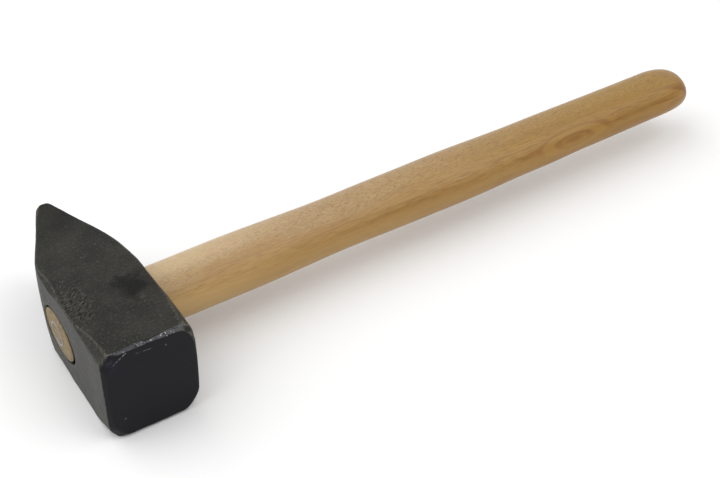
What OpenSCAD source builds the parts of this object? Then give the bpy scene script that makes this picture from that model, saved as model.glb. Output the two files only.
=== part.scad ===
// Cross-peen hammer: a forged steel head, a beech handle and a steel ring wedge.
// The head lies on one cheek. +X runs along the handle to its free end, +Y to the peen and +Z up.
// The origin is on the lower cheek, straight below the middle of the eye.

/* [Head] */
// Thickness of the head along the handle
head_w = 45; // [42:0.5:48]
// Height of the head from cheek to cheek
head_h = 52; // [49:0.5:55]
// Distance from the middle of the eye to the striking face
face_reach = 56; // [52:0.5:60]
// Distance from the middle of the eye to the tip of the peen
peen_reach = 69; // [65:0.5:73]
// Width of the bevel round the striking face
face_bevel = 2.2; // [1:0.1:3]

/* [Peen] */
// Radius of the rounded peen edge
peen_r = 4.8; // [3.5:0.1:6]
// Distance from the middle of the eye to where the flanks begin
bend_reach = 22; // [20:0.5:24]
// Radius that blends the body into each flank
bend_r = 38; // [20:1:50]
// Width of the chamfer along the flank edges
flank_chamfer = 2.2; // [1:0.1:3]

/* [Face corners] */
// Width of a corner chamfer at the striking face, measured across the head's thickness
corner_w = 4.6; // [3:0.1:6]
// Height of a corner chamfer at the striking face, measured from the cheek
corner_h = 5.8; // [3:0.1:7]
// Distance from the middle of the eye to where a corner chamfer runs out
corner_runout = 25; // [22:0.5:30]

/* [Eye] */
// Long width of the eye at its two mouths
eye_mouth = 34.8; // [33:0.1:36]
// Long width of the eye at its waist, half way through the head
eye_waist = 31.6; // [30:0.1:33]
// Short width of the eye and of the handle as a share of the long width
oval_ratio = 0.8; // [0.75:0.01:0.85]

/* [Handle] */
// Distance from the middle of the eye to the free end of the handle
handle_reach = 361; // [340:1:380]
// Long width of the handle at its narrow part behind the head
waist_w = 32.2; // [31:0.1:34]
// Distance from the middle of the eye to that narrow part
waist_at = 135; // [120:1:145]
// Long width of the handle at its swell
swell_w = 33.2; // [32:0.1:35]
// Distance from the middle of the eye to the swell
swell_at = 180; // [170:1:200]
// Long width of the handle at the grip
grip_w = 29.4; // [28:0.1:31]
// Length of the rounded end
dome_length = 20; // [15:1:25]

/* [Ring wedge] */
// Outer diameter of the ring wedge
ring_d = 13.6; // [12:0.1:15]
// Wall thickness of the ring wedge
ring_wall = 1.3; // [1:0.1:1.8]
// Depth of the ring wedge in the wood
ring_depth = 20; // [16:0.5:24]
// Offset of the ring wedge from the middle of the eye towards the peen
ring_shift_y = 3.6; // [0:0.1:5]
// Offset of the ring wedge from the middle of the eye, downwards
ring_drop = 2; // [0:0.1:3]

/* [Hidden] */
$fn = 96;

half_w = head_w / 2;
mid_z = head_h / 2;
grip_at = handle_reach - dome_length;
// Distance from the middle of the eye to where the handle starts to narrow
root_end = 60;
// Roundness of the handle's end: 2 is an ellipse, higher is blunter
dome_power = 3.2;
// Sides of the oval sections of the handle and the eye
oval_sides = 48;
// Length of the sharpened part of the ring wedge
ring_point = 6;
// A cutter that passes right through runs this far past the faces
past = 1;
// Size of a cutting block, larger than any side of the head
block = 130;

// The flank touches the round peen edge and ends at the corner of the body
tip_y = peen_reach - peen_r;
flank_run = norm([half_w, tip_y - bend_reach]);
flank_angle = atan2(half_w, tip_y - bend_reach) - asin(peen_r / flank_run);
// Centre of the bend between body and flank
bend_x = half_w - bend_r;
bend_y = bend_reach - bend_r * tan(flank_angle / 2);

// Points of an arc, from one angle to the other in equal steps
function arc(centre, r, from, to, steps) =
    [for (i = [0 : steps]) let (a = from + (to - from) * i / steps) centre + r * [cos(a), sin(a)]];

function mirrored(points) = [for (i = [len(points) - 1 : -1 : 0]) [-points[i][0], points[i][1]]];

// Smooth step between two values, for t from 0 to 1
function blend(from, to, t) = from + (to - from) * (1 - cos(180 * t)) / 2;

// Long width of the handle at a distance x from the middle of the eye, up to the grip's end
function handle_w(x) =
    x < root_end ? eye_mouth
    : x < waist_at ? blend(eye_mouth, waist_w, (x - root_end) / (waist_at - root_end))
    : x < swell_at ? blend(waist_w, swell_w, (x - waist_at) / (swell_at - waist_at))
    : blend(swell_w, grip_w, (x - swell_at) / (grip_at - swell_at));

// Section of the rounded end, where the angle runs from 0 at the grip to 90 at the tip
function dome_section(angle) =
    [grip_at + dome_length * pow(sin(angle), 2 / dome_power), grip_w * pow(cos(angle), 2 / dome_power)];

right_side = concat([[half_w, -face_reach]],
    arc([bend_x, bend_y], bend_r, 0, flank_angle, 8),
    arc([0, tip_y], peen_r, flank_angle, 90, 10));

// Outline of the head, seen on its cheek
module head_outline() {
    polygon(concat(right_side, mirrored(right_side)));
}

// Skin through oval sections, each given as [distance along the handle, long width]
module oval_body(sections) {
    last = len(sections) - 1;
    ring = [for (i = [0 : oval_sides - 1]) 360 * i / oval_sides];
    points = [for (s = sections, a = ring)
        [s[0], s[1] / 2 * cos(a), mid_z + oval_ratio * s[1] / 2 * sin(a)]];
    sides = [for (k = [0 : last - 1], i = [0 : oval_sides - 1])
        let (j = (i + 1) % oval_sides, low = k * oval_sides, high = low + oval_sides)
        [low + i, high + i, high + j, low + j]];
    start_cap = [for (i = [0 : oval_sides - 1]) i];
    end_cap = [for (i = [oval_sides - 1 : -1 : 0]) last * oval_sides + i];
    polyhedron(points, concat([start_cap], sides, [end_cap]));
}

// Puts its children on all four long edges of the head
module at_four_edges() {
    for (side = [0, 1], end = [0, 1])
        translate([0, 0, end * head_h])
        mirror([0, 0, 1 - end])
        mirror([side, 0, 0])
        children();
}

// Block whose underside chamfers an edge that runs along X through the origin. The two faces that
// meet at the edge look up and towards -Y.
module edge_block(width) {
    rotate([45, 0, 0])
        translate([-block / 2, -block / 2, -width * sin(45)])
        cube([block, block, block / 2]);
}

// Block that cuts one corner: nothing at the run-out, full size at the striking face
module corner_cutter() {
    depth = corner_w * corner_h / norm([corner_w, corner_h]);
    translate([half_w, -corner_runout, 0])
        rotate([0, atan2(corner_h, corner_w), 0])
        rotate([atan2(depth, face_reach - corner_runout), 0, 0])
        translate([-block / 2, -block, 0])
        cube([block, block, block / 2]);
}

// Block that chamfers the edge between a cheek and a flank
module flank_cutter() {
    translate([half_w, bend_reach, 0])
        rotate([0, 0, 90 + flank_angle])
        edge_block(flank_chamfer);
}

// Bevels all round the striking face: four along its sides and four across its corners
module face_bevels() {
    diagonal = atan2(corner_h, corner_w);
    translate([0, -face_reach, mid_z])
        for (turn = [0, 180]) rotate([0, turn, 0]) {
            translate([0, 0, mid_z]) edge_block(face_bevel);
            rotate([0, 90, 0]) translate([0, 0, half_w]) edge_block(face_bevel);
            for (lean = [-1, 1])
                translate([lean * (half_w - corner_w), 0, mid_z])
                rotate([0, lean * diagonal, 0])
                edge_block(face_bevel);
        }
}

// Inside of the eye: two mouths that narrow to a waist
module eye_space() {
    flare = (eye_mouth - eye_waist) / half_w * past;
    mouth = eye_mouth + flare;
    reach = half_w + past;
    oval_body([[-reach, mouth], [0, eye_waist], [reach, mouth]]);
}

module head() {
    color([0.17, 0.17, 0.15])
    difference() {
        linear_extrude(head_h) head_outline();
        at_four_edges() corner_cutter();
        at_four_edges() flank_cutter();
        face_bevels();
        eye_space();
    }
}

// Tube with a sharpened inner end, driven in beside the middle of the eye
module ring_shape() {
    outer_r = ring_d / 2;
    inner_r = outer_r - ring_wall;
    translate([-half_w, ring_shift_y, mid_z - ring_drop])
        rotate([0, 90, 0])
        rotate_extrude()
        polygon([[inner_r, 0], [outer_r, 0], [outer_r, ring_depth], [inner_r, ring_depth - ring_point]]);
}

// Beech handle: the part in the eye follows the eye, and the rest is the grip
module handle() {
    steps = 22;
    in_eye = [[-half_w, eye_mouth], [0, eye_waist]];
    grip = [for (i = [0 : steps]) let (x = half_w + (grip_at - half_w) * i / steps) [x, handle_w(x)]];
    dome = [for (angle = [15, 30, 45, 60, 72, 81, 87]) dome_section(angle)];
    color([0.78, 0.62, 0.38])
    difference() {
        oval_body(concat(in_eye, grip, dome));
        ring_shape();
    }
}

module ring_wedge() {
    color([0.6, 0.6, 0.58]) ring_shape();
}

head();
handle();
ring_wedge();
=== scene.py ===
"""Looks of the cross-peen hammer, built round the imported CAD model.

+X runs along the handle, +Y to the peen and +Z up. Shapes are worked out in millimetres and
turned into metres when a mesh is made. The left of the head is its -X side, where the wood ends
in the eye, and the right is its +X side. Tables with an entry per side use -1 and 1 as keys, and
"up" is 1 at the upper cheek and -1 at the lower one. A station is a distance along the head, in Y.
"""
import math
import random

import bmesh
import bpy
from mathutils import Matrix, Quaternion, Vector, noise


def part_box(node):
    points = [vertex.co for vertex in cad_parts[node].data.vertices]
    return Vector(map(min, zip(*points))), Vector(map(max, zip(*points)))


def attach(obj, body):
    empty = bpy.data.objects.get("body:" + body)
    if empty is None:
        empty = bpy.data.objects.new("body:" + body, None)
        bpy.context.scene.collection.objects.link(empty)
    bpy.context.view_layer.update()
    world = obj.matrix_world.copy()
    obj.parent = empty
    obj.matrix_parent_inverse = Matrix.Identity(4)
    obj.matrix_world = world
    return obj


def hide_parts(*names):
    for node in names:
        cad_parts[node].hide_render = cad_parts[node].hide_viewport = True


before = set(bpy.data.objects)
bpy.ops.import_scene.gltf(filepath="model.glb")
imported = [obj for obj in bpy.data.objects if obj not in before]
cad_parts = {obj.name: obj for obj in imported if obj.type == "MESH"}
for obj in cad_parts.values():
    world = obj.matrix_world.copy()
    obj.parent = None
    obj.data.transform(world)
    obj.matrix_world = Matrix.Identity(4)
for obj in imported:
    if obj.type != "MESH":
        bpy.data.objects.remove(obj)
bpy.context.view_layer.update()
MM = 0.001

# ---------------------------------------------------------------- sizes from the frame, in mm
head_low, head_high = (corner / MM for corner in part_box("head"))
ring_low, ring_high = (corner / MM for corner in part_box("ring_wedge"))

HALF_W = (head_high.x - head_low.x) / 2
HALF_H = (head_high.z - head_low.z) / 2
MID_Z = (head_high.z + head_low.z) / 2
CHEEK_Z = 2 * MID_Z
FACE_Y = head_low.y
TIP_Y = head_high.y
HANDLE_END = (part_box("handle")[1] / MM).x
RING_CENTRE = (ring_low + ring_high) / 2
RING_R = (ring_high.z - ring_low.z) / 2
RING_DEEP = ring_high.x

# ---------------------------------------------------------------- head shape, in mm
PEEN_R = 4.8
# Per side: where the bend into the flank starts, and its radius
BENDS = {1: (0.0, 88.0), -1: (14.5, 38.0)}
FLANK_HOLLOW = 0.35       # how far a flank of the peen is hollow half way along
# Per side: how far it stands proud half way up, at the face, over the eye and at the bend
SIDE_CROWNS = {1: (1.3, 0.9, 0.9), -1: (0.1, 0.15, 0.9)}
CROWN_CHANGES = ((-45, -20), (1, 16))   # stations between which that goes over
CHEEK_CROWN = 0.15
# Extra width on the left: beside the eye, between two fades, and at the face
LEFT_SWELL = 0.35
SWELL_FADE = (14, 4)                    # stations
SWELL_FACE_FADE = (2, 22)               # distances behind the face
LEFT_FLARE = 0.85
FLARE_STATIONS = (-34, -50)
# The face is turned a little: sideways shift per height, on the left and on the right
LEANS = (0.028, 0.052)
LEAN_STATIONS = (-20, -50)
TIP_ROUND = 1.9           # rounding of the peen edge's two ends
TIP_WEAR = {1: 0.4, -1: 1.1}
TIP_WEAR_FADE = (-14, -2)               # distances from the tip
EDGE_FILLET = 0.6
EDGE_BREAK = 0.55         # smallest chamfer on any long edge
# Corner chamfers towards the face, per (side, up): width, height, where they run out, powers
FACE_CORNERS = {
    (-1, 1): (4.1, 4.8, -25.5, 0.8, 0.6),
    (1, 1): (3.5, 4.2, -18.5, 1.4, 3.0),
    (-1, -1): (4.5, 6.4, -30.0, 1.8, 2.2),
    (1, -1): (4.4, 5.8, -26.0, 1.2, 1.4),
}
# How far those corners are rounded off at the face: along the cheek and down the side
FACE_ROUNDING = {
    (-1, 1): (0.9, 2.0), (1, 1): (2.2, 7.0), (-1, -1): (2.0, 2.5), (1, -1): (3.4, 5.0),
}
# Corners of the flat striking face, inside its bevel
INNER_CORNERS = {
    (-1, 1): (10.5, 8.0), (1, 1): (5.0, 8.5), (-1, -1): (6.0, 7.0), (1, -1): (5.2, 6.8),
}
INNER_ROUNDING = (2.5, 3.0)
# Chamfer beside the eye on the peen side, per side: width, height, start, full, end
PEEN_CORNERS = {
    -1: (2.3, 2.6, -12.0, 6.0, 27.0),
    1: (1.2, 1.6, -8.0, 12.0, 40.0),
}
# Width of the bevel on each side, below, and above on the left and right
BEVEL_SIDE = {-1: 1.8, 1: 1.0}
BEVEL_LOW = 1.5
BEVEL_HIGH = (0.9, 1.75)
BEVEL_WIDENS = (-6, 14)   # where along X the upper bevel goes from one width to the other
BEVEL_BAND = (-8, -2)     # distances from the cheek in which it does so
BEVEL_DEPTH = (0.8, 2.2)  # least and greatest depth of the bevel
BEVEL_SLOPE = 0.9         # depth of the bevel per width, between those two
BEVEL_STATION = 1.5       # behind the face: the section that the bevel runs out on
BEVEL_FILLET = 0.35
FACE_CROWN = 0.2
CROWN_LIMIT = 0.3         # what lies this far behind the face isn't crowned

# Numbers of steps in the head's mesh
TOP_STEPS, FILLET_STEPS, CHAMFER_STEPS, SIDE_STEPS = 44, 5, 7, 22
FACE_STEPS, BEVEL_STEPS, BEVEL_ROUND_STEPS = 26, 7, 3
BODY_STEPS, TIP_STEPS = 205, 14
BODY_START = 3.4          # behind the face: the first ring after the bevel
WELD, SLIVER = 0.002, 0.001

# ---------------------------------------------------------------- forged skin, in mm
# Layers of noise: size, shift and depth
FORGED_NOISE = ((17.0, (0, 0, 0), 0.16), (5.5, (7, 3, 1), 0.07), (1.9, (2, 9, 4), 0.022))
FACE_CALM = 0.8           # how much smoother the striking face is
FACE_CALM_FADE = (2.6, 1.4)
# Pits beside the edge over the eye. Their turn is a mean and a spread, in degrees.
PIT_COUNT = 46
PIT_X, PIT_Y = (-20.5, -9.0), (-24.0, 4.0)
PIT_LENGTH, PIT_WIDTH, PIT_DEPTH, PIT_TURN = (0.9, 2.6), (0.35, 0.6), (0.10, 0.26), (28, 14)
# Shallow dents all over the upper cheek
DENT_COUNT = 26
DENT_X, DENT_Y = (-19, 19), (-50, 58)
DENT_SIZE, DENT_SHAPE, DENT_DEPTH = (0.6, 2.4), (0.4, 0.9), (0.05, 0.16)
# Broad hollows: x, y, size and depth, with one shape and turn for all
HOLLOWS = (
    (9, -8, 7, 0.32), (14, -2, 5, 0.22), (2, 18, 8, 0.22), (-8, 34, 7, 0.2), (6, -30, 9, 0.2),
)
HOLLOW_SHAPE, HOLLOW_TURN = 0.7, 0.6
MARK_REACH = 2.2          # in radii
MARK_FALLOFF = 2.2
MARK_SEED = 11

# ---------------------------------------------------------------- eye and handle, in mm
EYE_SIDE = -HALF_W - LEFT_SWELL - SIDE_CROWNS[-1][1]
OVAL_RATIO = 0.8
OVAL_POWER = 2.05
EYE_MOUTH = 17.5
EYE_WAIST = 16.2
EYE_EXIT = 17.5
EYE_CENTRE = (-0.2, -0.2)  # middle of the outer mouth, sideways and up
LIP = 0.4
CUT_PAST = 3              # how far the eye's cutter runs past the head
CUTTER_SIDES, HANDLE_SIDES = 144, 96
WOOD_START = EYE_SIDE + 0.1
WOOD_END = 16.3           # half width of the wood at the eye's outer mouth
WOOD_CENTRE = (1.4, -1.0)
WOOD_IN_EYE = [           # distance along the handle, half of the long width
    (WOOD_START, WOOD_END - 0.4), (WOOD_START + 0.25, WOOD_END - 0.1),
    (WOOD_START + 0.7, WOOD_END), (-12.0, EYE_WAIST),
    (0.0, EYE_WAIST - 0.35), (12.0, EYE_WAIST + 0.2),
]
WOOD_CROWN = 0.25         # how far the middle of the end grain stands proud
WOOD_CROWN_STEPS = (0.2, 0.4, 0.6, 0.8)
GRIP_SECTIONS = [         # distance along the handle, half of the long width, rise of its middle
    (22.5, 17.2, -0.1), (62.0, 17.25, -0.2), (135.0, 16.15, -0.25), (195.0, 16.75, -0.4),
    (250.0, 15.8, -0.4), (290.0, 15.2, -0.05), (341.0, 14.8, 0.2),
]
GRIP_STEPS = 300
DOME_LENGTH = 20.0
DOME_POWERS = (2.1, 4.5)  # along the handle and round its end
DOME_DROP = -1.2
DOME_STEPS = 24
SANDED_SIZES = (34, 14, 14)
SANDED_DEPTH = 0.22
SANDED_FADE = (0, 25)     # distances from the head

# ---------------------------------------------------------------- ring wedge, in mm
RING_WALL = 1.3
RING_PROUD = 0.35         # how far its rim stands out of the eye
RING_POINT = 6            # length of its sharpened part
RIM_ROUND, RIM_SHOULDER, RIM_DENT = 0.35, 0.1, 0.12
RING_SIDES = 72


def clamped(t):
    return min(1.0, max(0.0, t))


def ramp(value, start, end):
    """Goes smoothly from 0 at start to 1 at end, which may be the lower one."""
    t = clamped((value - start) / (end - start))
    return t * t * (3 - 2 * t)


def lerp(a, b, t):
    return a + (b - a) * t


# ---------------------------------------------------------------- mesh helpers
def make_object(name, bm):
    mesh = bpy.data.meshes.new(name)
    bmesh.ops.recalc_face_normals(bm, faces=bm.faces)
    bm.to_mesh(mesh)
    bm.free()
    obj = bpy.data.objects.new(name, mesh)
    bpy.context.scene.collection.objects.link(obj)
    return obj


def shade(obj, sharp_degrees=38):
    obj.data.shade_smooth()
    obj.data.set_sharp_from_angle(angle=math.radians(sharp_degrees))


def join_rows(bm, low, high):
    count = len(low)
    for i in range(count):
        j = (i + 1) % count
        bm.faces.new((low[i], low[j], high[j], high[i]))


def loft(bm, rings):
    """Joins rings of equal length with quads, and returns the rings as vertices."""
    rows = [[bm.verts.new(Vector(p) * MM) for p in ring] for ring in rings]
    for low, high in zip(rows, rows[1:]):
        join_rows(bm, low, high)
    return rows


def close_with_centre(bm, row, centre):
    middle = bm.verts.new(Vector(centre) * MM)
    for i in range(len(row)):
        bm.faces.new((row[i], row[(i + 1) % len(row)], middle))


def cut_away(obj, cutter):
    """Takes the cutter's volume out of obj for good, and deletes the cutter."""
    modifier = obj.modifiers.new("cut", "BOOLEAN")
    modifier.operation = "DIFFERENCE"
    modifier.solver = "EXACT"
    modifier.object = cutter
    graph = bpy.context.evaluated_depsgraph_get()
    result = bpy.data.meshes.new_from_object(obj.evaluated_get(graph))
    obj.modifiers.clear()
    old = obj.data
    obj.data = result
    bpy.data.meshes.remove(old)
    cutter_mesh = cutter.data
    bpy.data.objects.remove(cutter)
    bpy.data.meshes.remove(cutter_mesh)


# ---------------------------------------------------------------- head outline
def flank_angle(side):
    """Angle of the line that touches both the bend and the round peen edge."""
    start, radius = BENDS[side]
    run = Vector((radius - HALF_W, TIP_Y - PEEN_R - start))
    return math.atan2(run.y, run.x) - math.acos((radius - PEEN_R) / run.length)


def half_width(side, y):
    """Distance from the middle plane to one side of the head, before its crown."""
    start, radius = BENDS[side]
    angle = flank_angle(side)
    tip = TIP_Y - PEEN_R
    bend_end = start + radius * math.sin(angle)
    if y <= start:
        beside_eye = ramp(y, *SWELL_FADE) * ramp(y - FACE_Y, *SWELL_FACE_FADE)
        at_face = ramp(y, *FLARE_STATIONS)
        return HALF_W + (LEFT_SWELL * beside_eye + LEFT_FLARE * at_face if side < 0 else 0)
    if y <= bend_end:
        return HALF_W - radius + math.sqrt(radius ** 2 - (y - start) ** 2)
    if y <= tip + PEEN_R * math.sin(angle):
        hollow = math.sin(math.pi * min(1.0, (y - bend_end) / (tip - bend_end))) ** 2
        return (PEEN_R + (tip - y) * math.sin(angle)) / math.cos(angle) - FLANK_HOLLOW * hollow
    return math.sqrt(max(0.0, PEEN_R ** 2 - (y - tip) ** 2))


def half_height(y):
    """Half of the distance between the cheeks: it drops only at the very tip."""
    from_round = y - (TIP_Y - TIP_ROUND)
    if from_round <= 0:
        return HALF_H
    return HALF_H - TIP_ROUND + math.sqrt(max(0.0, TIP_ROUND ** 2 - from_round ** 2))


def towards_face(side, up, y):
    """How much of a face corner's chamfer is there at a station, from 0 to 1."""
    runout = FACE_CORNERS[side, up][2]
    return clamped((runout - y) / (runout - FACE_Y - BEVEL_STATION))


def chamfer(side, up, y):
    """Width and height of the chamfer on one long edge at a station."""
    width, height, _, width_power, height_power = FACE_CORNERS[side, up]
    swell = math.sin(towards_face(side, up, y) * math.pi / 2)
    if swell > 0:
        return (max(EDGE_BREAK, width * swell ** width_power),
                max(EDGE_BREAK, height * swell ** height_power))
    width, height, start, full, end = PEEN_CORNERS[side]
    share = ramp(y, start, full) * ramp(y, end, full)
    least = EDGE_BREAK + TIP_WEAR[side] * ramp(y - TIP_Y, *TIP_WEAR_FADE)
    return max(least, width * share), max(least, height * share)


def side_crown(side, y):
    at_face, at_eye, at_bend = SIDE_CROWNS[side]
    to_eye, to_bend = (ramp(y, *change) for change in CROWN_CHANGES)
    return lerp(lerp(at_face, at_eye, to_eye), at_bend, to_bend)


def curve_points(a, b, c, steps):
    """Inner points of a curve from a to c that is pulled towards b."""
    shares = [(i + 1) / (steps + 1) for i in range(steps)]
    return [a.lerp(b, t).lerp(b.lerp(c, t), t) for t in shares]


def line_points(a, b, steps):
    return [a.lerp(b, i / steps) for i in range(steps + 1)]


def quarter(width, height, cut, rounding):
    """A quarter of a section, from the middle of the cheek to the middle of the side."""
    most_cut, most_rounding, most_of_slope = 0.6, 0.8, 0.45
    cut_w, cut_h = min(cut[0], width * most_cut), min(cut[1], height * most_cut)
    top, side = Vector((0, height)), Vector((width, 0))
    upper, lower = Vector((width - cut_w, height)), Vector((width, height - cut_h))
    slope = lower - upper
    along_cheek = min(rounding[0], most_rounding * (width - cut_w))
    down_side = min(rounding[1], most_rounding * (height - cut_h))
    before_upper = upper - Vector((along_cheek, 0))
    after_lower = lower - Vector((0, down_side))
    leave = upper + slope * min(most_of_slope, rounding[0] / slope.length)
    arrive = lower - slope * min(most_of_slope, rounding[1] / slope.length)
    points = line_points(top, before_upper, TOP_STEPS)
    points += curve_points(before_upper, upper, leave, FILLET_STEPS)
    points += line_points(leave, arrive, CHAMFER_STEPS)
    points += curve_points(arrive, lower, after_lower, FILLET_STEPS)
    points += line_points(after_lower, side, SIDE_STEPS)
    return points


def crowned(x, z, width, height, crown):
    """Bulges a section's side outwards, and lowers the cheek a little, towards the corners."""
    thin = 3.0            # below this width the bulge shrinks with the section
    across = min(1.0, abs(x) / max(width, 0.01))
    along = min(1.0, abs(z) / height)
    bulge = crown * (1 - along ** 3) / max(width, thin)
    return x * (1 + bulge), z * (1 - CHEEK_CROWN * across ** 2 / height)


def ring_from(quarters):
    """Joins four quarters into one closed ring, clockwise from the top middle."""
    right = quarters[1, 1] + quarters[1, -1][-2::-1]
    left = quarters[-1, -1][1:] + quarters[-1, 1][-2:0:-1]
    return right + left


def leaning(x, z, y):
    """Turns the section a little towards the face."""
    lean = lerp(*LEANS, ramp(x / HALF_W, -1, 1))
    return x + lean * z * ramp(y, *LEAN_STATIONS), z


def section(y):
    """Closed ring of (x, z) round the head at a station."""
    full_crown_width = 12
    height = half_height(y)
    quarters = {}
    for side in (1, -1):
        width = half_width(side, y)
        crown = side_crown(side, y) * min(1.0, width / full_crown_width)
        for up in (1, -1):
            near = towards_face(side, up, y) ** 2
            rounding = [lerp(EDGE_FILLET, at_face, near) for at_face in FACE_ROUNDING[side, up]]
            points = quarter(width, height, chamfer(side, up, y), rounding)
            quarters[side, up] = [leaning(side * x, up * z, y) for x, z in
                                  (crowned(p.x, p.y, width, height, crown) for p in points)]
    return ring_from(quarters)


def face_outline():
    """Edge of the flat striking face, point for point beside the section behind its bevel."""
    quarters = {}
    for side in (1, -1):
        width = HALF_W - BEVEL_SIDE[side]
        crown = side_crown(side, FACE_Y)
        for up in (1, -1):
            height = HALF_H - (min(BEVEL_HIGH) if up > 0 else BEVEL_LOW)
            points = quarter(width, height, INNER_CORNERS[side, up], INNER_ROUNDING)
            quarters[side, up] = [(side * x, up * z) for x, z in
                                  (crowned(p.x, p.y, width, height, crown) for p in points)]
    low, high = BEVEL_HIGH
    outline = []
    for x, z in ring_from(quarters):
        wider = (high - low) * ramp(x, *BEVEL_WIDENS) * ramp(z - HALF_H, *BEVEL_BAND)
        outline.append(leaning(x, z - wider, FACE_Y))
    return outline


# ---------------------------------------------------------------- wear and forging marks
def forging_marks():
    """Marks on the upper cheek: x, y, long radius, short radius, turn and depth of each."""
    pick = random.Random(MARK_SEED)
    marks = []
    for _ in range(PIT_COUNT):
        x, y = pick.uniform(*PIT_X), pick.uniform(*PIT_Y)
        length = pick.uniform(*PIT_LENGTH)
        marks.append((x, y, length, pick.uniform(*PIT_WIDTH), math.radians(pick.gauss(*PIT_TURN)),
                      pick.uniform(*PIT_DEPTH)))
    for _ in range(DENT_COUNT):
        x, y = pick.uniform(*DENT_X), pick.uniform(*DENT_Y)
        size = pick.uniform(*DENT_SIZE)
        marks.append((x, y, size, size * pick.uniform(*DENT_SHAPE), pick.uniform(0, math.pi),
                      pick.uniform(*DENT_DEPTH)))
    for x, y, size, depth in HOLLOWS:
        marks.append((x, y, size, size * HOLLOW_SHAPE, HOLLOW_TURN, depth))
    return marks


MARKS = forging_marks()


def mark_depth(x, y):
    depth = 0.0
    for mark_x, mark_y, long_r, short_r, turn, deep in MARKS:
        dx, dy = x - mark_x, y - mark_y
        if abs(dx) > MARK_REACH * long_r or abs(dy) > MARK_REACH * long_r:
            continue
        along = (dx * math.sin(turn) + dy * math.cos(turn)) / long_r
        across = (dx * math.cos(turn) - dy * math.sin(turn)) / short_r
        depth += deep * math.exp(-MARK_FALLOFF * (along ** 2 + across ** 2))
    return depth


def rough_forging(point, normal):
    """Height of the forged skin over the smooth shape, in mm."""
    on_upper_cheek = normal.z > 0.9
    height = sum(noise.noise(point / size + Vector(shift)) * depth
                 for size, shift, depth in FORGED_NOISE)
    height *= 1 - FACE_CALM * ramp(point.y - FACE_Y, *FACE_CALM_FADE)
    if on_upper_cheek:
        height -= mark_depth(point.x, point.y)
    return height


def roughen(bm):
    bm.normal_update()
    moves = [(v, v.normal * rough_forging(v.co / MM, v.normal) * MM) for v in bm.verts]
    for vert, move in moves:
        vert.co += move


# ---------------------------------------------------------------- head
def stations():
    """Distances along the head where it gets a ring, from behind the bevel to the tip."""
    tip = TIP_Y - PEEN_R
    first = flank_angle(-1)
    body_end = tip + PEEN_R * math.sin(first)
    body = [lerp(FACE_Y + BODY_START, body_end, i / BODY_STEPS) for i in range(BODY_STEPS + 1)]
    angles = [lerp(first, math.pi / 2, i / TIP_STEPS) for i in range(1, TIP_STEPS + 1)]
    return body + [tip + PEEN_R * math.sin(angle) for angle in angles]


def bevel_rings():
    """Rings from the edge of the flat face over the bevel and on to the body."""
    inset, lead_out, most_of_slope = 0.97, 0.6, 0.3
    least, greatest = BEVEL_DEPTH
    columns = []
    body_edge = section(FACE_Y + BEVEL_STATION)
    for (outer_x, outer_z), (inner_x, inner_z) in zip(body_edge, face_outline()):
        size = math.hypot(outer_x - inner_x, outer_z - inner_z)
        depth = min(greatest, max(least, BEVEL_SLOPE * size))
        outer = Vector((outer_x, FACE_Y + depth, outer_z))
        inner = Vector((inner_x, FACE_Y, inner_z))
        flat = inner * inset
        flat.y = FACE_Y
        body = outer + Vector((0, lead_out, 0))
        slope = outer - inner
        soft = slope * min(most_of_slope, BEVEL_FILLET / slope.length)
        column = [flat] + curve_points(flat, inner, inner + soft, BEVEL_ROUND_STEPS)
        column += line_points(inner + soft, outer - soft, BEVEL_STEPS)
        column += curve_points(outer - soft, outer, body, BEVEL_ROUND_STEPS) + [body]
        columns.append(column)
    return [[(p.x, p.y, MID_Z + p.z) for p in ring] for ring in zip(*columns)]


def on_crowned_face(x, y, z):
    """Sinks a point of the striking face a little, the more the nearer it is to the rim."""
    if y >= FACE_Y + CROWN_LIMIT:
        return x, y, z
    return x, y + FACE_CROWN * min(1.0, (x / HALF_W) ** 2 + ((z - MID_Z) / HALF_H) ** 2), z


def face_rings():
    """Rings from the middle of the striking face out to its edge, and over the bevel."""
    edge = bevel_rings()
    rings = []
    for i in range(1, FACE_STEPS):
        s = i / FACE_STEPS
        rings.append([(x * s, y, MID_Z + (z - MID_Z) * s) for x, y, z in edge[0]])
    return [[on_crowned_face(*point) for point in ring] for ring in rings + edge]


def oval(x, half_long, centre=(0.0, 0.0), count=HANDLE_SIDES):
    ring = []
    for i in range(count):
        a = math.tau * i / count
        c, s = math.cos(a), math.sin(a)
        y = half_long * math.copysign(abs(c) ** (2 / OVAL_POWER), c)
        z = OVAL_RATIO * half_long * math.copysign(abs(s) ** (2 / OVAL_POWER), s)
        ring.append((x, centre[0] + y, MID_Z + centre[1] + z))
    return ring


def eye_cutter():
    """Everything inside the eye: a flared lip, a waist and another lip."""
    left, right = EYE_SIDE, HALF_W + SIDE_CROWNS[1][1]
    profile = [           # x, half of the long width, share of the outer mouth's shift
        (left - CUT_PAST, EYE_MOUTH + LIP + CUT_PAST, 1), (left, EYE_MOUTH + LIP, 1),
        (left + LIP, EYE_MOUTH, 1), (0, EYE_WAIST, 0), (right - LIP, EYE_EXIT, 0),
        (right, EYE_EXIT + LIP, 0), (right + CUT_PAST, EYE_EXIT + LIP + CUT_PAST, 0),
    ]
    bm = bmesh.new()
    rows = loft(bm, [oval(x, r, [c * share for c in EYE_CENTRE], CUTTER_SIDES)
                     for x, r, share in profile])
    bm.faces.new(rows[0])
    bm.faces.new(rows[-1])
    return make_object("eye_cutter", bm)


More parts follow.
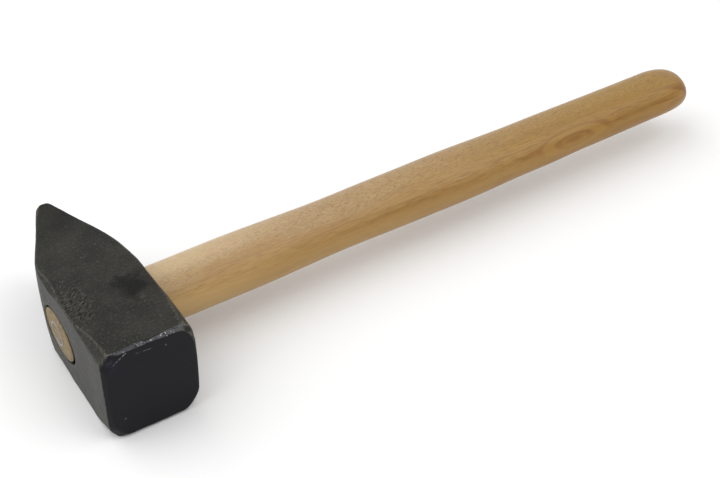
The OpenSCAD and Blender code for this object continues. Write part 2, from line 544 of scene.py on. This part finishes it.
def build_head():
    bm = bmesh.new()
    rings = face_rings()
    rings += [[(x, y, MID_Z + z) for x, z in section(y)] for y in stations()]
    rows = loft(bm, rings)
    close_with_centre(bm, rows[0], (0, FACE_Y, MID_Z))
    bmesh.ops.remove_doubles(bm, verts=bm.verts, dist=WELD * MM)
    bmesh.ops.dissolve_degenerate(bm, edges=bm.edges, dist=SLIVER * MM)
    bmesh.ops.recalc_face_normals(bm, faces=bm.faces)
    roughen(bm)
    head = make_object("forged_head", bm)
    cut_away(head, eye_cutter())
    shade(head)
    return head


# ---------------------------------------------------------------- handle
def grip(x):
    """Half of the long width, and the rise of the middle, at a distance along the handle."""
    for (x0, *start), (x1, *end) in zip(GRIP_SECTIONS, GRIP_SECTIONS[1:]):
        if x <= x1:
            share = ramp(x, x0, x1)
            return [lerp(a, b, share) for a, b in zip(start, end)]
    return GRIP_SECTIONS[-1][1:]


def handle_rings():
    rings = []
    for x, r in WOOD_IN_EYE:
        share = ramp(x, 0, -HALF_W)
        rings.append(oval(x, r, [c * share for c in WOOD_CENTRE]))
    grip_end = HANDLE_END - DOME_LENGTH
    for i in range(GRIP_STEPS + 1):
        x = lerp(HALF_W, grip_end, i / GRIP_STEPS)
        half_long, rise = grip(x)
        rings.append(oval(x, half_long, (0, rise)))
    along_power, round_power = DOME_POWERS
    _, full, rise = GRIP_SECTIONS[-1]
    for i in range(1, DOME_STEPS):
        share = math.sin(math.pi / 2 * i / DOME_STEPS)
        radius = full * (1 - share ** along_power) ** (1 / round_power)
        middle = (0, rise + DOME_DROP * share ** 2)
        rings.append(oval(grip_end + DOME_LENGTH * share, radius, middle))
    return rings


def sand_unevenly(bm):
    """Faint flats and waves of a turned and sanded handle, outside the eye."""
    bm.normal_update()
    for vert in bm.verts:
        p = vert.co / MM
        share = ramp(p.x - HALF_W, *SANDED_FADE)
        wave = noise.noise(Vector([c / size for c, size in zip(p, SANDED_SIZES)])) * SANDED_DEPTH
        vert.co += vert.normal * wave * share * MM


def build_handle():
    bm = bmesh.new()
    rings = handle_rings()
    end_x = rings[0][0][0]
    middle_y, middle_z = WOOD_CENTRE[0], MID_Z + WOOD_CENTRE[1]
    end_grain = [[(x - WOOD_CROWN * (1 - s ** 2), lerp(middle_y, y, s), lerp(middle_z, z, s))
                  for x, y, z in rings[0]] for s in WOOD_CROWN_STEPS]
    rows = loft(bm, end_grain + rings)
    close_with_centre(bm, rows[0], (end_x - WOOD_CROWN, middle_y, middle_z))
    close_with_centre(bm, rows[-1], (HANDLE_END, 0, MID_Z + GRIP_SECTIONS[-1][2] + DOME_DROP))
    bmesh.ops.recalc_face_normals(bm, faces=bm.faces)
    sand_unevenly(bm)
    handle = make_object("beech_handle", bm)
    shade(handle, 60)
    return handle


# ---------------------------------------------------------------- ring wedge
def rim_dent(angle):
    place = Vector((math.cos(angle) * 2, math.sin(angle) * 2, 5))
    return noise.noise(place) * RIM_DENT


def build_ring_wedge():
    """A tube with a rounded, slightly battered rim and a sharp inner end."""
    outer, inner = RING_R, RING_R - RING_WALL
    rim = EYE_SIDE - RING_PROUD
    profile = [           # x and radius
        (rim + RIM_ROUND, outer), (rim + RIM_SHOULDER, outer - RIM_SHOULDER),
        (rim, outer - RIM_ROUND), (rim, inner + RIM_ROUND),
        (rim + RIM_SHOULDER, inner + RIM_SHOULDER), (rim + RIM_ROUND, inner),
        (RING_DEEP - RING_POINT, inner), (RING_DEEP, outer - RIM_SHOULDER), (RING_DEEP, outer),
    ]
    angles = [math.tau * i / RING_SIDES for i in range(RING_SIDES)]
    rings = [[(x + (rim_dent(a) if x < rim + 1 else 0), RING_CENTRE.y + r * math.cos(a),
               RING_CENTRE.z + r * math.sin(a)) for a in angles] for x, r in profile]
    bm = bmesh.new()
    rows = loft(bm, rings)
    join_rows(bm, rows[-1], rows[0])
    wedge = make_object("ring_wedge_tube", bm)
    shade(wedge)
    return wedge


# ---------------------------------------------------------------- material helpers
def new_material(name):
    material = bpy.data.materials.new(name)
    material.use_nodes = True
    tree = material.node_tree
    tree.nodes.clear()
    return material, tree


def fill(tree, socket, value):
    """Links a socket's value, and sets any other."""
    if isinstance(value, bpy.types.NodeSocket):
        tree.links.new(value, socket)
    else:
        socket.default_value = value


def add(tree, kind, inputs=None, **settings):
    node = tree.nodes.new("ShaderNode" + kind)
    for name, value in settings.items():
        setattr(node, name, value)
    for key, value in (inputs or {}).items():
        fill(tree, node.inputs[key], value)
    return node


def calc(tree, operation, *values):
    return add(tree, "Math", dict(enumerate(values)), operation=operation).outputs[0]


def times(tree, *values):
    product = values[0]
    for value in values[1:]:
        product = calc(tree, "MULTIPLY", product, value)
    return product


def greatest_of(tree, *values):
    greatest = values[0]
    for value in values[1:]:
        greatest = calc(tree, "MAXIMUM", greatest, value)
    return greatest


def one_less(tree, value):
    """1 less the value."""
    return calc(tree, "SUBTRACT", 1.0, value)


def span(tree, value, low, high, to_low=0.0, to_high=1.0):
    """Maps low..high to to_low..to_high, smoothly and clamped."""
    inputs = {"Value": value, "From Min": low, "From Max": high,
              "To Min": to_low, "To Max": to_high}
    return add(tree, "MapRange", inputs, interpolation_type="SMOOTHSTEP").outputs["Result"]


def mix(tree, share, a, b, blend="MIX"):
    node = add(tree, "Mix", data_type="RGBA", blend_type=blend)
    for index, value in ((0, share), (6, a), (7, b)):
        fill(tree, node.inputs[index], value)
    return node.outputs[2]


def rgb(red, green, blue):
    return (red, green, blue, 1)


def noise_tex(tree, vector, scale=1.0, detail=3.0, roughness=0.5, distortion=0.0):
    node = add(tree, "TexNoise", {"Vector": vector, "Scale": scale, "Detail": detail,
                                  "Roughness": roughness, "Distortion": distortion})
    return node.outputs["Fac"]


def combined(tree, operation, *vectors):
    return add(tree, "VectorMath", dict(enumerate(vectors)), operation=operation).outputs[0]


def scaled(tree, vector, factor):
    return add(tree, "VectorMath", {0: vector, "Scale": factor}, operation="SCALE").outputs[0]


def measured(tree, operation, *vectors):
    """A length, a distance or a dot product."""
    node = add(tree, "VectorMath", dict(enumerate(vectors)), operation=operation)
    return node.outputs["Value"]


def parts_of(tree, vector):
    return add(tree, "SeparateXYZ", {0: vector}).outputs


def in_millimetres(tree):
    """Place on the object in mm, and its three parts."""
    place = scaled(tree, add(tree, "TexCoord").outputs["Object"], 1 / MM)
    return place, parts_of(tree, place)


def stretched(tree, vector, scale, turn=0.0):
    """Scales a place after a turn about Z."""
    if turn:
        vector = add(tree, "Mapping", {"Vector": vector, "Rotation": (0, 0, -turn)}).outputs[0]
    return add(tree, "Mapping", {"Vector": vector, "Scale": scale}).outputs[0]


def grain_tex(tree, place, along, across, detail=3.0, roughness=0.5, distortion=0.0):
    """Noise drawn out along X, by two scales."""
    return noise_tex(tree, stretched(tree, place, (along, across, across)), 1.0, detail, roughness,
                     distortion)


def in_radii(tree, place, centre, radii):
    """Distance from a centre, counted in radii."""
    away = combined(tree, "SUBTRACT", place, centre)
    return measured(tree, "LENGTH", combined(tree, "DIVIDE", away, radii))


def blob(tree, place, centre, radii):
    """1 at a centre, falling to 0 at the radii."""
    return span(tree, in_radii(tree, place, centre, radii), 1.0, 0.0)


def off_axis(tree, place, axis, z_scale=1.0):
    """Distance from a line along X through axis, a pair of y and z."""
    away = combined(tree, "SUBTRACT", place, (0, *axis))
    return measured(tree, "LENGTH", stretched(tree, away, (0, 1, z_scale)))


def stroke(tree, place, start, end, width):
    """1 along a straight scratch between two places, falling to 0 at its width."""
    core = 0.3            # share of the width that is full
    line = Vector(end) - Vector(start)
    away = combined(tree, "SUBTRACT", place, start)
    along = measured(tree, "DOT_PRODUCT", away, line / line.length_squared)
    share = add(tree, "Clamp", {"Value": along}).outputs[0]
    gap = measured(tree, "DISTANCE", away, scaled(tree, line, share))
    return span(tree, gap, width, core * width)


def bump(tree, height, distance, strength=1.0):
    inputs = {"Height": height, "Distance": distance * MM, "Strength": strength}
    return add(tree, "Bump", inputs).outputs[0]


def finish_material(tree, **inputs):
    """Ends a material in a Principled shader. Input names have _ where the socket has a space."""
    named = {name.replace("_", " "): value for name, value in inputs.items()}
    shader = add(tree, "BsdfPrincipled", named)
    output = add(tree, "OutputMaterial")
    tree.links.new(shader.outputs[0], output.inputs["Surface"])


# ---------------------------------------------------------------- steel
OLIVE_DARK, OLIVE = rgb(0.0080, 0.0076, 0.0057), rgb(0.0200, 0.0192, 0.0145)
OLIVE_DUST, OLIVE_SPECK = rgb(0.056, 0.053, 0.042), rgb(0.095, 0.092, 0.074)
# The first colour is a stain's, and also painted shade towards the peen tip
STAIN_AND_TIP_SHADE, PIT_BLACK = rgb(0.0050, 0.0048, 0.0038), rgb(0.004, 0.004, 0.003)
GROUND_GREY, GROUND_PALE = rgb(0.0320, 0.0315, 0.0290), rgb(0.0410, 0.0405, 0.0375)
FACE_LACQUER, BLUE_LACQUER = rgb(0.0062, 0.0061, 0.0084), rgb(0.0085, 0.0090, 0.0170)
WORN_STEEL, BRIGHT_STEEL = rgb(0.085, 0.085, 0.092), rgb(0.62, 0.62, 0.64)
WEDGE_DARK, WEDGE_PALE = rgb(0.200, 0.190, 0.185), rgb(0.34, 0.33, 0.34)
# Dirt and painted shade inside the eye
EYE_DIRT_AND_SHADE = rgb(0.004, 0.0035, 0.003)
# Painted reflection of the beech handle on the steel
WOOD_REFLECTION_BROWN = rgb(0.085, 0.058, 0.032)
# Worn edges, and a painted highlight on them
EDGE_WEAR_AND_HIGHLIGHT = rgb(0.088, 0.087, 0.066)

# Marks on the head, in mm: centre and radii, or both ends, width and strength of a scratch
HAMMERED = ((-15.5, -15, CHEEK_Z), (10, 22, 12))
STAINED = ((10.5, -16, CHEEK_Z), (13, 20, 6))
CHIP = ((12.4, -26.7, CHEEK_Z), (2.2, 1.3, 2))
BLUE_CORNER = ((-18, FACE_Y, MID_Z + 20), (7, 4, 7))
FACE_SPOTS = ((9.4, FACE_Y, MID_Z + 19.6), (-15.7, FACE_Y, MID_Z - 14.0))
SPOT_RADII = (0.75, 2, 0.75)
SCRATCHES = (
    ((-10.0, FACE_Y, MID_Z + 24.3), (-17.8, FACE_Y, MID_Z + 19.5), 0.5, 0.32),
    ((-5.3, FACE_Y, MID_Z + 21.7), (2.6, FACE_Y, MID_Z + 21.0), 0.3, 0.22),
)
DASH_TURN = math.radians(26)
DASH_SCALE = (0.42, 1.25, 1.0)
STREAK_SCALES = (0.35, 1.6)


def hammered_marks(tree, place, on_cheek):
    """The pits beside the edge over the eye, and the pale rims between them."""
    dashes = noise_tex(tree, stretched(tree, place, DASH_SCALE, DASH_TURN), detail=2)
    hammered = times(tree, span(tree, blob(tree, place, *HAMMERED), 0.05, 0.5), on_cheek)
    pits = times(tree, span(tree, dashes, 0.57, 0.63), hammered)
    rims = times(tree, span(tree, dashes, 0.47, 0.40), hammered)
    return pits, rims


def stain_and_tip_shade(tree, place, y, on_cheek):
    """Where the cheek is dark: one stain near the handle, and painted shade towards the peen tip.
    """
    cloud = noise_tex(tree, place, 0.15, 4)
    darkening = calc(tree, "MULTIPLY_ADD", cloud, 1.3, blob(tree, place, *STAINED))
    darkening = times(tree, span(tree, darkening, 0.85, 1.5), on_cheek)
    # Painted shade: darker towards the peen tip
    return greatest_of(tree, darkening, span(tree, y, 25, 60, 0, 0.5))


def forged_colour(tree, place, skin, pits, rims, darkening):
    """Olive-grey lacquer over scale: cloudy, specked, dark in its pits and stains, and with
    painted shade towards the peen tip.
    """
    cloud = noise_tex(tree, place, 0.055, 4, 0.6)
    colour = mix(tree, span(tree, cloud, 0.36, 0.60), OLIVE_DARK, OLIVE)
    colour = mix(tree, span(tree, skin, 0.50, 0.70, 0, 0.6), colour, OLIVE_DUST)
    colour = mix(tree, span(tree, skin, 0.49, 0.36, 0, 0.7), colour, OLIVE_DARK)
    # The stain, and painted shade towards the peen tip
    colour = mix(tree, times(tree, darkening, 0.85), colour, STAIN_AND_TIP_SHADE)
    specks = noise_tex(tree, place, 0.9, 1, 0.4)
    colour = mix(tree, span(tree, specks, 0.73, 0.79), colour, OLIVE_SPECK)
    colour = mix(tree, times(tree, blob(tree, place, *CHIP), skin, 1.2), colour, OLIVE_DUST)
    colour = mix(tree, times(tree, pits, 0.95), colour, PIT_BLACK)
    return mix(tree, times(tree, rims, 0.7), colour, OLIVE_DUST)


def painted_area(tree, place, facing):
    """Where the blue-black lacquer is: the striking face and its bevel, but not the bevel's upper
    right corner."""
    x, y, z = parts_of(tree, place)
    corner = times(tree, span(tree, x, 12.0, 16.0), span(tree, z, MID_Z + 6, MID_Z + 11))
    ragged = calc(tree, "MULTIPLY_ADD", noise_tex(tree, place, 0.45), 0.9, y)
    painted = span(tree, ragged, FACE_Y + 2.45, FACE_Y + 2.15)
    painted = times(tree, painted, one_less(tree, corner))
    flat = times(tree, span(tree, facing[1], -0.93, -0.97),
                 span(tree, y, FACE_Y + 1.0, FACE_Y + 0.5))
    return greatest_of(tree, painted, flat)


def bare_steel(tree, place, facing, off_side):
    """Where the upper bevel is worn, and where bright metal shows."""
    bevel = times(tree, span(tree, facing[1], -0.30, -0.42), span(tree, facing[2], 0.25, 0.42),
                  span(tree, off_side, 0.42, 0.2))
    streaks = grain_tex(tree, place, *STREAK_SCALES, 4, 0.7)
    worn = times(tree, bevel, span(tree, streaks, 0.36, 0.52))
    bright = times(tree, bevel, span(tree, noise_tex(tree, place, 0.9, 3, 0.6), 0.61, 0.71))
    broken = span(tree, noise_tex(tree, place, 0.8), 0.41, 0.58)
    for start, end, width, strength in SCRATCHES:
        scratch = stroke(tree, place, start, end, width)
        bright = greatest_of(tree, bright, times(tree, scratch, broken, strength))
    for centre in FACE_SPOTS:
        spot = blob(tree, place, centre, SPOT_RADII)
        bright = greatest_of(tree, bright, times(tree, spot, 0.16))
    return worn, bright


def head_material():
    material, tree = new_material("forged_head_paint")
    place, (_, y, _) = in_millimetres(tree)
    geometry = add(tree, "NewGeometry")
    facing = parts_of(tree, geometry.outputs["Normal"])
    off_side = calc(tree, "ABSOLUTE", facing[0])
    on_cheek = span(tree, facing[2], 0.85, 0.95)
    skin = noise_tex(tree, place, 0.75, 5, 0.62)
    pits, rims = hammered_marks(tree, place, on_cheek)
    # A stain on the cheek, and painted shade towards the peen tip
    darkening = stain_and_tip_shade(tree, place, y, on_cheek)
    colour = forged_colour(tree, place, skin, pits, rims, darkening)

    # The sides are smoother and greyer, apart from the flanks of the peen
    side = span(tree, off_side, 0.86, 0.93)
    side_grey = mix(tree, span(tree, skin, 0.35, 0.7), GROUND_GREY, GROUND_PALE)
    colour = mix(tree, side, colour, side_grey)

    # Painted reflection of the wood: brown by the handle, on the chamfer between cheek and side
    painted_wood_reflection = times(tree, span(tree, facing[0], 0.15, 0.4), span(tree, facing[2], 0.3, 0.55),
                 span(tree, y, -44, -34), span(tree, y, -6, -14), 0.7)
    colour = mix(tree, painted_wood_reflection, colour, WOOD_REFLECTION_BROWN)

    # Rubbed ridges, lightened also as a painted highlight
    ridge_wear_and_highlight = times(tree, span(tree, geometry.outputs["Pointiness"], 0.502, 0.518),
                  span(tree, skin, 0.35, 0.6))
    colour = mix(tree, times(tree, ridge_wear_and_highlight, 0.85), colour, EDGE_WEAR_AND_HIGHLIGHT)

    painted = painted_area(tree, place, facing)
    colour = mix(tree, painted, colour, FACE_LACQUER)
    blue = times(tree, painted, blob(tree, place, *BLUE_CORNER))
    colour = mix(tree, times(tree, blue, 0.8), colour, BLUE_LACQUER)

    worn, bright = bare_steel(tree, place, facing, off_side)
    colour = mix(tree, worn, colour, WORN_STEEL)
    colour = mix(tree, bright, colour, BRIGHT_STEEL)

    # Dirt and painted shade in the eye: near black inside it
    axis = (EYE_CENTRE[0], MID_Z + EYE_CENTRE[1])
    from_eye = off_axis(tree, place, axis, 1 / OVAL_RATIO)
    eye_dirt_and_shade = span(tree, from_eye, EYE_MOUTH + 0.25, EYE_MOUTH - 0.05)
    colour = mix(tree, eye_dirt_and_shade, colour, EYE_DIRT_AND_SHADE)

    rough = span(tree, skin, 0.3, 0.7, 0.46, 0.60)
    rough = calc(tree, "SUBTRACT", rough, times(tree, painted, 0.12))
    gloss = calc(tree, "SUBTRACT", 0.21, times(tree, painted, 0.07))
    gloss = calc(tree, "SUBTRACT", gloss, times(tree, greatest_of(tree, darkening, pits), 0.10))
    gloss = times(tree, gloss, one_less(tree, eye_dirt_and_shade))

    grain = noise_tex(tree, place, 3.0, 2)
    height = calc(tree, "MULTIPLY_ADD", grain, 0.22, skin)
    calm = greatest_of(tree, times(tree, painted, 0.9), times(tree, side, 0.6))
    height = times(tree, height, one_less(tree, calm))
    height = calc(tree, "MULTIPLY_ADD", pits, -2.2, height)
    finish_material(tree, Base_Color=colour, Roughness=rough, Normal=bump(tree, height, 0.24),
                    Metallic=times(tree, bright, 0.6), Specular_IOR_Level=gloss)
    return material


def wedge_material():
    material, tree = new_material("wedge_steel")
    place, _ = in_millimetres(tree)
    scuff = noise_tex(tree, place, 0.7, 4, 0.6)
    colour = mix(tree, span(tree, scuff, 0.38, 0.62), WEDGE_DARK, WEDGE_PALE)
    rough = span(tree, scuff, 0.3, 0.7, 0.36, 0.55)
    finish_material(tree, Base_Color=colour, Roughness=rough, Normal=bump(tree, scuff, 0.1, 0.8),
                    Metallic=span(tree, scuff, 0.4, 0.6, 0.1, 0.4))
    return material


# ---------------------------------------------------------------- wood
BEECH_PALE, BEECH = rgb(0.385, 0.235, 0.078), rgb(0.315, 0.172, 0.043)
BEECH_DARK, BEECH_RED = rgb(0.215, 0.104, 0.024), rgb(0.235, 0.100, 0.022)
# The first is a painted sheen on the upper side of the handle
BEECH_SHEEN, FLECK = rgb(0.47, 0.36, 0.235), rgb(0.245, 0.132, 0.048)
# Painted light below, and a painted highlight on top, of the handle beside the head
ROOT_FILL_LIGHT, ROOT_HIGHLIGHT = rgb(0.56, 0.37, 0.155), rgb(0.64, 0.49, 0.29)
END_SHADE = rgb(0.79, 0.69, 0.36)     # what the wood's colour is multiplied by at the free end
END_GRAIN_DARK, END_GRAIN = rgb(0.110, 0.070, 0.026), rgb(0.240, 0.168, 0.062)
END_DIRT = rgb(0.090, 0.078, 0.058)
RAY_DIRECTION = (0, 0.68, 0.73)       # across the handle, square to the rays of the wood
SWIRL = ((275.0, -14.3, MID_Z + 3.4), (34.0, 9.0, 9.0))   # centre and radii, in mm
SWIRL_RINGS, SWIRL_WANDER = 16.0, 5.0


def beech_colour(tree, place, x, across):
    """Straight grain, with a swirling red figure towards the end of the front."""
    broad = grain_tex(tree, place, 0.006, 0.075, 3, 0.6)
    lines = grain_tex(tree, place, 0.016, 0.55, 4, 0.65, 0.3)
    fine = grain_tex(tree, place, 0.14, 2.6, 2)
    colour = mix(tree, span(tree, broad, 0.34, 0.66), BEECH_PALE, BEECH)
    colour = mix(tree, span(tree, lines, 0.50, 0.68, 0, 0.38), colour, BEECH_DARK)
    colour = mix(tree, span(tree, lines, 0.46, 0.34, 0, 0.5), colour, BEECH_PALE)
    colour = mix(tree, span(tree, fine, 0.48, 0.64, 0, 0.55), colour, BEECH_DARK)

    figure = grain_tex(tree, place, 0.020, 0.11, 3, 0.55, 1.4)
    figure = times(tree, span(tree, figure, 0.48, 0.57), span(tree, x, 170, 250),
                   span(tree, across, 3, -4), 0.7)
    colour = mix(tree, figure, colour, BEECH_RED)

    # One swirl of the grain round a small knot
    away = in_radii(tree, place, *SWIRL)
    near = span(tree, away, 1.0, 0.55)
    colour = mix(tree, times(tree, near, 0.75), colour, BEECH_PALE)
    wavy = calc(tree, "MULTIPLY_ADD", lines, SWIRL_WANDER, times(tree, away, SWIRL_RINGS))
    rings = times(tree, span(tree, calc(tree, "SINE", wavy), 0.0, 0.9), near, 0.62)
    colour = mix(tree, rings, colour, BEECH_RED)
    return mix(tree, span(tree, away, 0.36, 0.05, 0, 0.8), colour, BEECH_RED)


def end_grain_colour(tree, place, z, pores):
    """End grain in the eye, dirty towards its lower edge and cut round the ring wedge."""
    colour = mix(tree, span(tree, pores, 0.36, 0.60), END_GRAIN_DARK, END_GRAIN)
    dirt = calc(tree, "MULTIPLY_ADD", noise_tex(tree, place, 0.3), 10.0, z)
    dirt = span(tree, dirt, MID_Z - 2, MID_Z - 9)
    colour = mix(tree, times(tree, dirt, 0.55), colour, END_DIRT)
    from_ring = off_axis(tree, place, (RING_CENTRE.y, RING_CENTRE.z))
    cut = times(tree, span(tree, from_ring, RING_R + 0.8, RING_R + 0.2),
                span(tree, from_ring, RING_R - 2.3, RING_R - 1.4))
    return mix(tree, times(tree, cut, 0.75), colour, END_GRAIN_DARK)


def wood_material():
    material, tree = new_material("lacquered_beech")
    place, (x, _, z) = in_millimetres(tree)
    facing = parts_of(tree, add(tree, "NewGeometry").outputs["Normal"])
    off_middle = combined(tree, "SUBTRACT", place, (0, 0, MID_Z))
    across = measured(tree, "DOT_PRODUCT", off_middle, RAY_DIRECTION)
    colour = beech_colour(tree, place, x, across)

    # Ray flecks where the surface runs along the rays, on a paler ground that is a painted sheen
    # on the upper side
    wander = grain_tex(tree, place, 0.016, 0.12)
    upper = span(tree, calc(tree, "MULTIPLY_ADD", wander, 14.0, across), 3, 14)
    flecks = times(tree, span(tree, grain_tex(tree, place, 0.5, 2.7, 0), 0.52, 0.64), upper)
    # Painted sheen: paler on the upper side
    colour = mix(tree, times(tree, upper, 0.5), colour, BEECH_SHEEN)
    colour = mix(tree, times(tree, flecks, 0.62), colour, FLECK)

    # It is paler below, paler still below beside the head as painted light against the head's
    # shade, has a painted highlight on top beside the head, and is darker towards the end
    colour = mix(tree, span(tree, across, -5, -11, 0, 0.6), colour, BEECH_PALE)
    # Painted light under the handle beside the head
    painted_root_fill = times(tree, span(tree, across, -2, -9), span(tree, x, 95, 30), 0.5)
    colour = mix(tree, painted_root_fill, colour, ROOT_FILL_LIGHT)
    # Painted highlight on top of the handle beside the head
    painted_root_highlight = times(tree, span(tree, across, 2, 12), span(tree, x, 130, 25), 0.5)
    colour = mix(tree, painted_root_highlight, colour, ROOT_HIGHLIGHT)
    colour = mix(tree, span(tree, x, 60, 330), colour, END_SHADE, "MULTIPLY")

    # End grain at the end in the eye, and black sides there from dirt and painted shade
    end = span(tree, facing[0], -0.6, -0.9)
    pores = noise_tex(tree, stretched(tree, place, (1, 0.55, 0.35)), detail=5, roughness=0.7)
    colour = mix(tree, end, colour, end_grain_colour(tree, place, z, pores))
    eye_dirt_and_shade = times(tree, one_less(tree, end), span(tree, x, -15, -17))
    # Dirt and painted shade on the wood inside the eye
    colour = mix(tree, eye_dirt_and_shade, colour, EYE_DIRT_AND_SHADE)

    height = calc(tree, "MULTIPLY_ADD", flecks, -0.7, grain_tex(tree, place, 0.2, 2.4))
    height = calc(tree, "MULTIPLY_ADD", times(tree, pores, end), 3.0, height)
    finish_material(tree, Base_Color=colour, Roughness=0.40, Normal=bump(tree, height, 0.07, 0.8),
                    Specular_IOR_Level=span(tree, end, 0, 1, 0.32, 0.12),
                    Coat_Weight=span(tree, end, 0, 1, 0.14, 0.0), Coat_Roughness=0.22)
    return material


# ---------------------------------------------------------------- the object
for piece, node, slot, material in (
    (build_head(), "head", "forged_head", head_material()),
    (build_handle(), "handle", "beech", wood_material()),
    (build_ring_wedge(), "ring_wedge", "wedge_steel", wedge_material()),
):
    piece.data.materials.clear()
    piece.data.materials.append(material)
    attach(piece, "root")
    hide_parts(node)

# ---------------------------------------------------------------- stage, light and camera, in m
FLOOR_SIZE, FLOOR_Z = 6.0, -0.0002
WHITE, FLOOR_GREY = rgb(1, 1, 1), rgb(0.86, 0.86, 0.86)
SKY_STRENGTH = 0.70
LIGHT_TARGET = (0.1, 0, 0)
# The camera looks from beyond the striking face, down on the hammer. Angles are in degrees.
VIEW_AZIMUTH, VIEW_ELEVATION, VIEW_ROLL = -29.43, 38.74, -3.06
VIEW_DISTANCE = 0.768
VIEW_TARGET = Vector((0.1345, -0.0189, MID_Z * MM))
LENS, SENSOR = 75, 36


def floor_material():
    material, tree = new_material("pale_floor")
    finish_material(tree, Base_Color=FLOOR_GREY, Roughness=0.8, Specular_IOR_Level=0.1)
    return material


def build_floor():
    bm = bmesh.new()
    bmesh.ops.create_grid(bm, x_segments=4, y_segments=4, size=FLOOR_SIZE / 2)
    floor = make_object("floor", bm)
    floor.location.z = FLOOR_Z
    floor.data.materials.append(floor_material())


def white_sky():
    world = bpy.data.worlds.new("studio")
    world.use_nodes = True
    background = world.node_tree.nodes["Background"]
    background.inputs["Color"].default_value = WHITE
    background.inputs["Strength"].default_value = SKY_STRENGTH
    bpy.context.scene.world = world


def aimed(direction):
    """Rotation that turns a light or a camera to look in a direction."""
    return direction.to_track_quat("-Z", "Y")


def soft_light(name, place, size, power):
    light = bpy.data.lights.new(name, "AREA")
    light.shape = "DISK"
    light.size = size
    light.energy = power
    obj = bpy.data.objects.new(name, light)
    obj.location = place
    obj.rotation_euler = aimed(Vector(LIGHT_TARGET) - Vector(place)).to_euler()
    bpy.context.scene.collection.objects.link(obj)


def view_camera():
    azimuth, elevation = math.radians(VIEW_AZIMUTH), math.radians(VIEW_ELEVATION)
    level = math.cos(elevation)
    back = Vector((math.sin(azimuth) * level, -math.cos(azimuth) * level, math.sin(elevation)))
    data = bpy.data.cameras.new("camera")
    data.lens = LENS
    data.sensor_width = SENSOR
    camera = bpy.data.objects.new("camera", data)
    camera.location = VIEW_TARGET + back * VIEW_DISTANCE
    camera.rotation_mode = "QUATERNION"
    camera.rotation_quaternion = aimed(-back) @ Quaternion((0, 0, 1), math.radians(VIEW_ROLL))
    bpy.context.scene.collection.objects.link(camera)
    bpy.context.scene.camera = camera


build_floor()
white_sky()
soft_light("key", (-0.8, 0.7, 1.3), 3.2, 28)
soft_light("fill", (0.9, -0.9, 1.4), 1.6, 10)
view_camera()
bpy.context.scene.view_settings.view_transform = "Standard"
